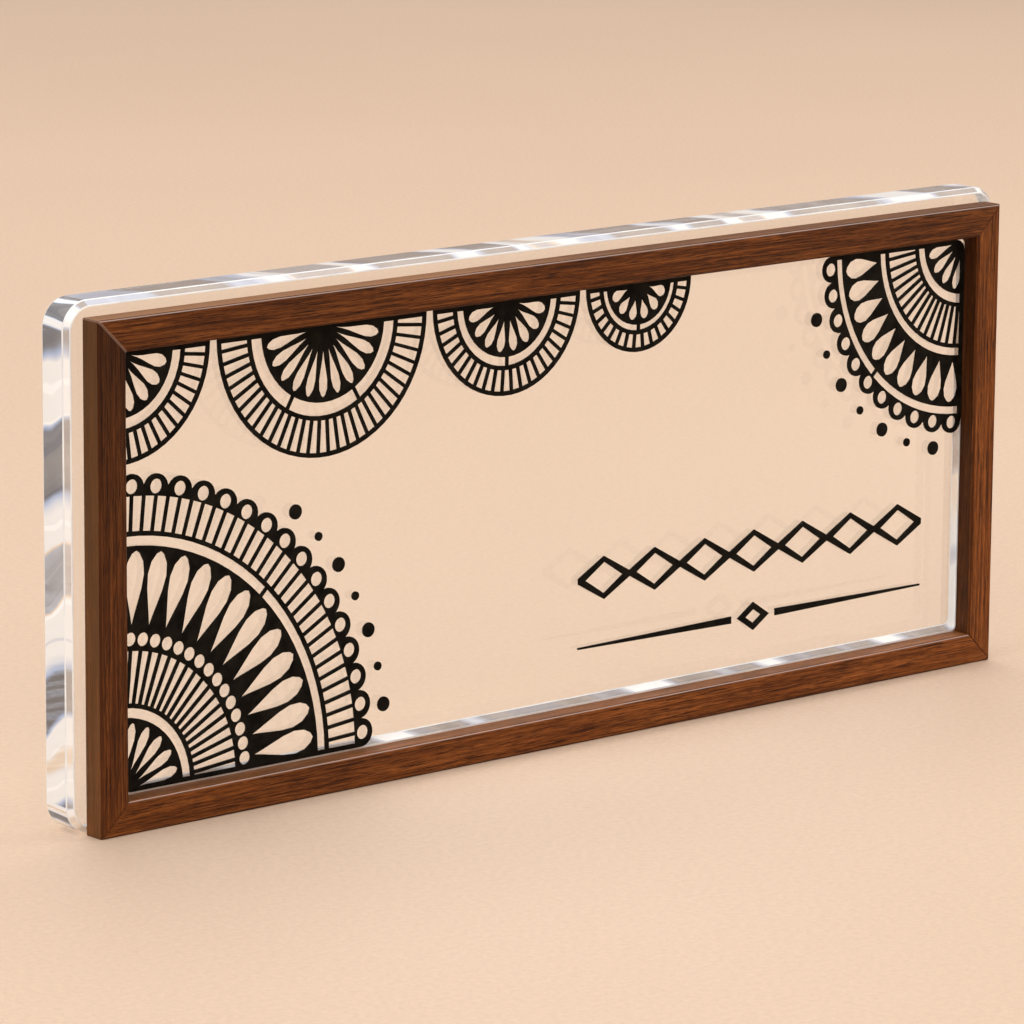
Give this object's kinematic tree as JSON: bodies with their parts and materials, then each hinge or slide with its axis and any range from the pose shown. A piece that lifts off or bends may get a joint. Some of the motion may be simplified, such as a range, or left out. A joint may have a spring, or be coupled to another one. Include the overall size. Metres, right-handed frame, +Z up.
{
  "type": "nameplate",
  "caption": "Free-standing clear acrylic block with a mitred walnut frame on its front, round a clear panel with a raised black ornament and a name field of plain lozenges and rules.",
  "frame": {"origin": "bottom centre of the plate's box, on the surface that it stands on", "axes": "+X along the plate to the right as read from the front, +Y from the front to the back, +Z up"},
  "size_m": [0.2474, 0.0132, 0.1031],
  "materials": {
    "acrylic": "clear polished",
    "walnut": "satin oiled",
    "ink": "satin",
    "tape": "matte",
    "steel": "satin"
  },
  "bodies": {
    "root": {"acrylic_block": "acrylic", "bottom_rail": "walnut", "bottom_tape": "tape", "corner_bead_1": "ink", "corner_bead_2": "ink", "corner_bead_3": "ink", "corner_bead_4": "ink", "corner_bead_5": "ink", "corner_bead_6": "ink", "corner_bead_7": "ink", "front_panel": "acrylic", "hanging_fan_1": "ink", "hanging_fan_2": "ink", "hanging_fan_3": "ink", "left_stile": "walnut", "left_tape": "tape", "lower_left_fan": "ink", "name_chain": "ink", "name_lozenge": "ink", "name_rule_left": "ink", "name_rule_right": "ink", "right_bead_1": "ink", "right_bead_2": "ink", "right_bead_3": "ink", "right_bead_4": "ink", "right_bead_5": "ink", "right_bead_6": "ink", "right_bead_7": "ink", "right_stile": "walnut", "right_tape": "tape", "top_rail": "walnut", "top_tape": "tape", "upper_left_fan": "ink", "upper_right_fan": "ink", "v_nail_bottom_left": "steel", "v_nail_bottom_right": "steel", "v_nail_top_left": "steel", "v_nail_top_right": "steel"}
  },
  "joints": []
}
